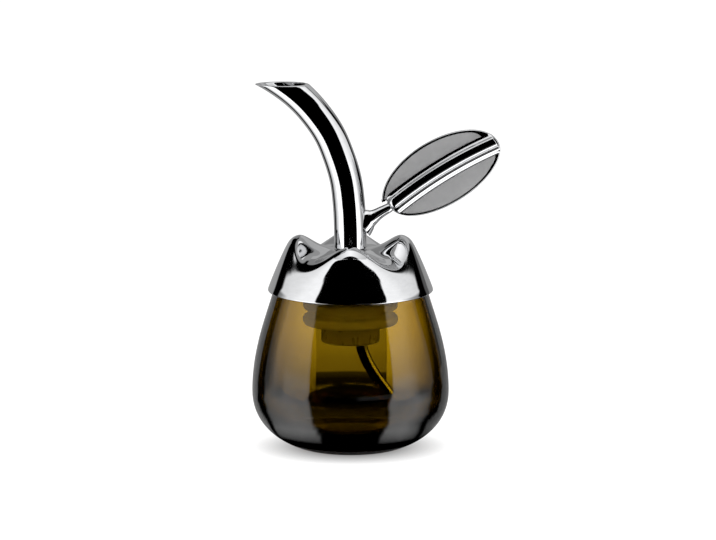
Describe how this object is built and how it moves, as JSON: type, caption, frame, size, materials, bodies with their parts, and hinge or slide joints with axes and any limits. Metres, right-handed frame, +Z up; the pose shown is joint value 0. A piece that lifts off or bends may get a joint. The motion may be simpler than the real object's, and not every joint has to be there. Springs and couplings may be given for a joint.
{
  "type": "oil cruet",
  "caption": "Table cruet for oil: a round amber glass vessel with a lift-off chromed closure that carries a curved pouring spout, a leaf-shaped grip, a finned stopper and an air tube.",
  "frame": {"origin": "centre of the vessel's flat underside, on the surface it stands on", "axes": "+Z up along the vessel's axis, -X towards the spout's mouth, +X towards the leaf"},
  "size_m": [0.1058, 0.084, 0.157],
  "materials": {
    "amber_glass": "polished, amber tint",
    "chrome": "mirror polished",
    "seal_plastic": "soft, translucent, satin",
    "plug_plastic": "translucent, smooth",
    "tube_steel": "smooth, dark"
  },
  "bodies": {
    "vessel": {"glass_body": "amber_glass"},
    "seal": {"stopper_seal": "seal_plastic"},
    "closure": {"stopper_core": "plug_plastic", "air_tube": "tube_steel", "cap_washer": "seal_plastic", "cap_shell": "chrome", "pour_spout": "chrome", "leaf_stalk": "chrome", "leaf_blade": "chrome", "leaf_rib_front": "chrome", "leaf_rib_back": "chrome"}
  },
  "joints": [
    {"name": "closure_lift", "type": "slide", "parent": "vessel", "child": "seal", "axis": [0, 0, 1], "range_m": [0, 0.07]},
    {"name": "closure_turn", "type": "hinge", "parent": "seal", "child": "closure", "pos_m": [0, 0, 0], "axis": [0, 0, 1], "continuous": true}
  ]
}
